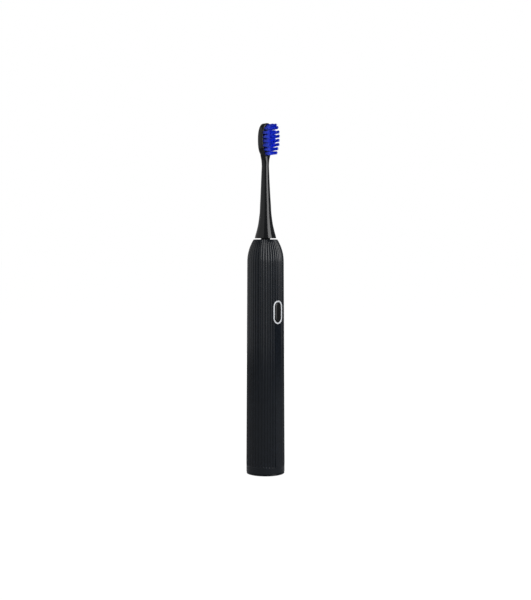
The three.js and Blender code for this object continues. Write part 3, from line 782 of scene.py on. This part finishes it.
def make_plate():
    """The oval plate that carries the bristles, with a small rounding in front and a large one behind."""
    loops = []
    for turn in quarter_turn(6):
        y = -PLATE_FRONT + PLATE_FRONT_ROUND * (1 - math.sin(turn))
        loops.insert(0, plate_loop(y, PLATE_FRONT_ROUND * (1 - math.cos(turn))))
    for turn in quarter_turn(12):
        y = PLATE_BACK - PLATE_BACK_ROUND * (1 - math.sin(turn))
        loops.append(plate_loop(y, PLATE_BACK_ROUND * (1 - math.cos(turn))))
    return skinned("plate", loops)


def tuft_place(number):
    """The middle of a tuft's root. The box's width and top are those of its tip, TUFT_LEAN higher."""
    low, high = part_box(f"bristle_tuft_{number:02d}")
    tip_r = (high.x - low.x) / 2 / MM
    return (low.x + high.x) / 2 / MM, high.z / MM - tip_r - TUFT_LEAN


def make_head_body():
    """Neck and plate melted into one moulding, then the socket and the tuft holes cut into it."""
    head = cut(make_neck(), [make_plate()], operation="UNION")
    head.name = "brush_moulding"
    remesh = head.modifiers.new("melt", "REMESH")
    remesh.mode = "VOXEL"
    remesh.voxel_size = 0.2 * MM
    relax = head.modifiers.new("relax", "SMOOTH")
    relax.factor = 0.5
    relax.iterations = 6
    bake(head)
    socket = turned("socket", fillet([
        (0, HEAD_LOW - 1), (HEAD_MOUTH_R, HEAD_LOW - 1), (HEAD_MOUTH_R, HEAD_LOW + 0.4),
        (HEAD_MOUTH_TOP_R, HEAD_MOUTH_TOP), (HEAD_SOCKET_R, HEAD_MOUTH_TOP),
        (HEAD_SOCKET_R, HEAD_SOCKET_TOP), (0, HEAD_SOCKET_TOP)], 0.2))
    holes = []
    for number in range(1, TUFT_COUNT + 1):
        x, z = tuft_place(number)
        outline = disc_outline(TUFT_HOLE_R, TUFT_HOLE_END, PLATE_FRONT + 1.5)
        holes.append(laid_forward(turned(f"hole_{number}", outline, sides=20), x, z))
    return cut(head, [socket, *holes])


# ---- Bristles ----------------------------------------------------------------------------------------
def filament(vertices, faces, root, lean, curl, tip_y):
    """Adds one bristle, a thin tube that narrows at its tip. With a low curl it leans from the root."""
    stations = [(0.0, 1.0), (0.18, 1.0), (0.4, 1.0), (0.7, 0.98), (0.94, 0.92), (1.0, 0.55)]
    sides = FILAMENT_SIDES
    first = len(vertices)
    for share, thickness in stations:
        y = lerp(root[1], tip_y, share)
        x = root[0] + lean[0] * share ** curl
        z = root[2] + lean[1] * share ** curl
        for i in range(sides):
            turn = 2 * math.pi * i / sides
            r = FILAMENT_R * thickness
            vertices.append((x + r * math.cos(turn), y, z + r * math.sin(turn)))
    for k in range(len(stations) - 1):
        for i in range(sides):
            a, b = first + k * sides + i, first + k * sides + (i + 1) % sides
            faces.append((a, b, b + sides, a + sides))
    last = first + (len(stations) - 1) * sides
    faces.append([first + i for i in range(sides)])
    faces.append([last + sides - 1 - i for i in range(sides)])


def tuft_manner(centre_x, height):
    """Spread sideways and upright, curl, scatter, trim and upward lean of a tuft, by its place."""
    lean = 0.3 + 0.08 * centre_x
    lean += 0.35 * smoothstep(0.45, 0.75, height) - 0.35 * smoothstep(0.7, 0.8, height)
    if abs(centre_x) < 2 and abs(height) < 0.75:
        return 0.8, 1.2, 0.65, 0.06, 1.0, lean
    if centre_x < -2:
        return 0.45, 0.85, 0.8, 0.03, 0.1, lean
    return 0.3, 0.45, 1.2, 0.02, 0.1, lean


def make_tuft(number, chance):
    """Filaments that spread from hole to tip. Inner tufts are shorter and bushier than outer ones."""
    centre_x, centre_z = tuft_place(number)
    height = (centre_z - (HEAD_TOP - PLATE_HALF_HEIGHT)) / PLATE_HALF_HEIGHT
    spread_x, spread_z, curl, scatter, trim, lift = tuft_manner(centre_x, height)
    trim += chance.uniform(0.0, 0.35)
    bundle_r = TUFT_HOLE_R - 0.13
    vertices, faces = [], []
    for i in range(FILAMENTS_PER_TUFT):
        reach = bundle_r * math.sqrt((i + 0.5) / FILAMENTS_PER_TUFT)
        turn = i * GOLDEN_ANGLE
        dx, dz = reach * math.cos(turn), reach * math.sin(turn)
        lean_x = dx * spread_x + chance.gauss(0, scatter)
        lean_z = dz * spread_z + lift + chance.gauss(0, scatter)
        tip_y = TUFT_TIP_Y + trim + chance.uniform(0.0, 0.2)
        root = (centre_x + dx, TUFT_ROOT_Y, centre_z + dz)
        filament(vertices, faces, root, (lean_x, lean_z), curl, tip_y)
    return make_object(f"tuft_{number:02d}", vertices, faces, sharp_deg=60)


# ---- Pieces inside the handle ------------------------------------------------------------------------
def wound_outline(inner, outer, low, high, turns):
    """A coil's outline: its outer side shows the turns of wire."""
    pitch = (high - low) / turns
    seam = (inner, (low + high) / 2)
    outline = [seam, (inner, low)]
    for turn in range(turns):
        for bend in spaced(0, math.pi, 7):
            z = low + pitch * (turn + 0.5 - 0.5 * math.cos(bend))
            outline.append((outer - pitch / 2 * (1 - math.sin(bend)), z))
    return outline + [(inner, high), seam]


def make_charge_coil():
    low, high = z_range("charge_coil")
    return turned("charge_winding", wound_outline(SOCKET_R + 1.6, PLUG_R - 1.9, low, high, 18))


def make_stator_coil():
    low, high = z_range("stator_coil")
    return turned("stator_winding", wound_outline(3.9, 5.6, low, high, 60))


def make_battery():
    """A round cell with a rolled groove under its shoulder and a raised contact on top."""
    low, high = z_range("battery_cell")
    shoulder = high - 1.2
    dish = shoulder - 0.3
    corners = [
        (0, low + 0.2), (CELL_FOOT_R - 0.4, low + 0.2), (CELL_FOOT_R, low), (CELL_R, low),
        (CELL_R, shoulder - 2.6), (CELL_R - 0.2, shoulder - 2.3), (CELL_R, shoulder - 2.0),
        (CELL_R, shoulder), (CELL_RIM_R, shoulder), (CELL_RIM_R - 0.3, dish), (CELL_NUB_R + 0.4, dish),
        (CELL_NUB_R, shoulder), (CELL_NUB_R, high), (0, high),
    ]
    cell = turned("battery", fillet(corners, 0.3), sides=128)
    cell.data.transform(Matrix.Translation((0, CELL_Y * MM, 0)))
    return cell


def make_shaft():
    """A round shaft with a flat on one side of its upper end, where the head slips on."""
    low, high = z_range("drive_shaft")
    shaft = turned("output_shaft", disc_outline(SHAFT_R, low, high, 0.5), sides=64)
    side = [(-3, SHAFT_FLAT_Y), (3, SHAFT_FLAT_Y), (3, 3), (-3, 3)]
    flat = skinned("flat", [[(x, y, z) for x, y in side] for z in (SHAFT_FLAT_Z, high + 1)])
    return cut(shaft, [flat])


def make_seal_retainer():
    low, high = z_range("seal_retainer")
    bore, sleeve_r, flange_r, flange_low = 3, 4.2, 6.4, 156.9
    corners = [
        (bore, 152), (bore, low), (sleeve_r, low), (sleeve_r, flange_low), (flange_r, flange_low),
        (flange_r, high), (bore, high), (bore, 152),
    ]
    return turned("boot_collar", fillet(corners, 0.25))


def make_screw(number):
    """A pan-head screw with a cross recess, its axis along Y."""
    low, high = z_range(f"board_screw_{number}")
    threads = []
    for i in range(THREAD_COUNT):
        crest = THREAD_START + i * THREAD_PITCH
        threads += [(SCREW_R, crest), (SCREW_CORE_R, crest + THREAD_PITCH / 2)]
    outline = [
        (0, SCREW_TIP), (SCREW_R - 0.3, SCREW_TIP), *threads, (SCREW_R, SCREW_HEAD_LOW),
        (SCREW_HEAD_R, SCREW_HEAD_LOW), (SCREW_HEAD_R, SCREW_HEAD_LOW + 0.2),
        (SCREW_HEAD_R - 0.4, SCREW_HEAD_TOP), (0, SCREW_HEAD_TOP),
    ]
    screw = turned(f"screw_{number}", outline, sides=40)
    slots = []
    for half_x, half_y in ((0.7, 0.12), (0.12, 0.7)):
        square = [(-half_x, -half_y), (half_x, -half_y), (half_x, half_y), (-half_x, half_y)]
        depths = (SCREW_HEAD_LOW + 0.1, SCREW_HEAD_TOP + 0.4)
        slots.append(skinned("slot", [[(x, y, z) for x, y in square] for z in depths]))
    return laid_forward(cut(screw, slots), 0, (low + high) / 2)


def make_ring_piece(name, node, inner, outer, edge):
    low, high = z_range(node)
    return turned(name, ring_outline(inner, outer, low, high, edge))


# ---- Stage, lights and camera ------------------------------------------------------------------------
def make_camera():
    """To the left of the brush's front and a little above its middle, tilted slightly down."""
    distance, eye = 0.763, 0.164
    down, azimuth = math.radians(3.22), math.radians(CAMERA_AZIMUTH)
    data = bpy.data.cameras.new("camera")
    data.lens = 66
    data.sensor_width = 36
    camera = bpy.data.objects.new("camera", data)
    camera.location = (math.sin(azimuth) * distance, -math.cos(azimuth) * distance, eye)
    camera.rotation_euler = (math.radians(90) - down, 0, azimuth)
    bpy.context.scene.collection.objects.link(camera)
    bpy.context.scene.camera = camera


def make_panel(name, azimuth, distance, width, low, high, brightness):
    """An upright softbox that faces the object, at an azimuth in degrees to the right of the camera."""
    data = bpy.data.lights.new(name, "AREA")
    data.shape = "RECTANGLE"
    data.size = width
    data.size_y = high - low
    data.energy = brightness * math.pi * width * (high - low)
    panel = bpy.data.objects.new(name, data)
    turn = math.radians(azimuth + CAMERA_AZIMUTH)
    panel.location = (math.sin(turn) * distance, -math.cos(turn) * distance, (low + high) / 2)
    panel.rotation_euler = (math.radians(90), 0, turn)
    bpy.context.scene.collection.objects.link(panel)


def make_world():
    """White to the camera, and dim walls to everything else."""
    world = bpy.data.worlds.new("studio")
    world.use_nodes = True
    nodes, links = world.node_tree.nodes, world.node_tree.links
    background = nodes["Background"]
    background.inputs["Color"].default_value = (1, 1, 1, 1)
    background.inputs["Strength"].default_value = 1.0
    dim = nodes.new("ShaderNodeBackground")
    dim.inputs["Color"].default_value = (0.95, 0.98, 1, 1)
    dim.inputs["Strength"].default_value = PALE
    seen = nodes.new("ShaderNodeLightPath")
    choose = nodes.new("ShaderNodeMixShader")
    links.new(seen.outputs["Is Camera Ray"], choose.inputs["Fac"])
    links.new(dim.outputs["Background"], choose.inputs[1])
    links.new(background.outputs["Background"], choose.inputs[2])
    links.new(choose.outputs["Shader"], nodes["World Output"].inputs["Surface"])
    bpy.context.scene.world = world


def make_floor():
    """A pale table. Its reflection in the object is dim, and brightest near the foot."""
    turns = spaced(0, 2 * math.pi, 65)[:-1]
    rim = [(FLOOR_R * math.cos(turn), FLOOR_R * math.sin(turn), FLOOR_Z) for turn in turns]
    floor = make_object("floor", rim, [list(range(len(rim)))])
    material, shader = principled("pale_floor", (0.08, 0.08, 0.08), 0.9)
    links = material.node_tree.links
    place = add_node(material, "ShaderNodeTexCoord")
    reach = add_node(material, "ShaderNodeVectorMath", operation="LENGTH")
    links.new(place.outputs["Object"], reach.inputs[0])
    reflected = ramped(material, reach.outputs["Value"], *FLOOR_REFLECTION, *FLOOR_FADE)
    path = add_node(material, "ShaderNodeLightPath")
    choose = add_node(material, "ShaderNodeMix", data_type="FLOAT")
    links.new(path.outputs["Is Glossy Ray"], choose.inputs["Factor"])
    choose.inputs["A"].default_value = FLOOR_BRIGHTNESS
    links.new(reflected, choose.inputs["B"])
    shader.inputs["Emission Color"].default_value = (1, 1, 1, 1)
    links.new(choose.outputs["Result"], shader.inputs["Emission Strength"])
    floor.data.materials.append(material)


make_camera()
make_world()
make_floor()
for panel in PANELS:
    make_panel(*panel)
bpy.context.scene.view_settings.view_transform = "Standard"

# ---- Pieces in place of CAD nodes --------------------------------------------------------------------
stands_for(make_handle_shell(), "handle_shell", SATIN_BLACK)
stands_for(make_base_cap(), "base_cap", SATIN_BLACK)
stands_for(make_base_seal(), "base_seal", BLACK_RUBBER)
blacken_inner_wall(stands_for(make_button_ring(), "button_ring", RING_SILVER))
stands_for(make_button_cap(), "button_cap", BUTTON_BLACK)
stands_for(make_shaft_seal(), "shaft_seal", BLACK_RUBBER)
stands_for(make_seal_retainer(), "seal_retainer", GREY_PLASTIC)
stands_for(make_head_body(), "head_body", HEAD_BLACK)

random_source = random.Random(SEED)
for tuft_number in range(1, TUFT_COUNT + 1):
    stands_for(make_tuft(tuft_number, random_source), f"bristle_tuft_{tuft_number:02d}", NYLON)

stands_for(make_charge_coil(), "charge_coil", COPPER)
stands_for(make_stator_coil(), "stator_coil", COPPER)
stands_for(make_battery(), "battery_cell", CELL_SLEEVE)
stands_for(make_shaft(), "drive_shaft", STEEL)
for screw_number in (1, 2):
    stands_for(make_screw(screw_number), f"board_screw_{screw_number}", STEEL)

# Name, CAD node, inner and outer radius, rounding of the edges, and material.
RING_PIECES = [
    ("motor_can", "motor_case", MOTOR_CASE_R - 0.5, MOTOR_CASE_R, 0.15, STEEL),
    ("motor_lower_lid", "motor_bottom_cap", BEARING_R + 0.05, MOTOR_LID_R, 0.3, GREY_PLASTIC),
    ("motor_upper_lid", "motor_top_cap", BEARING_R + 0.05, MOTOR_LID_R, 0.3, GREY_PLASTIC),
    ("lower_bush", "motor_bottom_bearing", SHAFT_R + SHAFT_GAP, BEARING_R, 0.2, BRONZE),
    ("upper_bush", "motor_top_bearing", SHAFT_R + SHAFT_GAP, BEARING_R, 0.2, BRONZE),
    ("motor_cushion", "motor_damper", 3.0, MOTOR_CASE_R - 0.1, 0.5, BLACK_RUBBER),
    ("magnet", "rotor_magnet", SHAFT_R + SHAFT_GAP, 3.4, 0.3, MAGNET),
]
for piece_name, node_name, inner_r, outer_r, edge_r, piece_material in RING_PIECES:
    ring_piece = make_ring_piece(piece_name, node_name, inner_r, outer_r, edge_r)
    stands_for(ring_piece, node_name, piece_material)

# ---- CAD nodes that keep their shape -----------------------------------------------------------------
dress("chassis", GREY_PLASTIC, bevel=0.15)
dress("main_board", BOARD_GREEN, bevel=0.05)
dress("controller_chip", CHIP_BLACK, bevel=0.1)
dress("status_led", LED_WHITE, bevel=0.12)
dress("switch_body", CHIP_BLACK, bevel=0.08)
dress("switch_plunger", GREY_PLASTIC, bevel=0.1)
dress("button_gasket", BLACK_RUBBER, bevel=0.1)
dress("battery_pad", FOAM, bevel=0.15)
dress("battery_tab_bottom", NICKEL, bevel=0.05)
dress("battery_tab_top", NICKEL, bevel=0.05)
dress("head_socket_insert", GREY_PLASTIC, bevel=0.1)
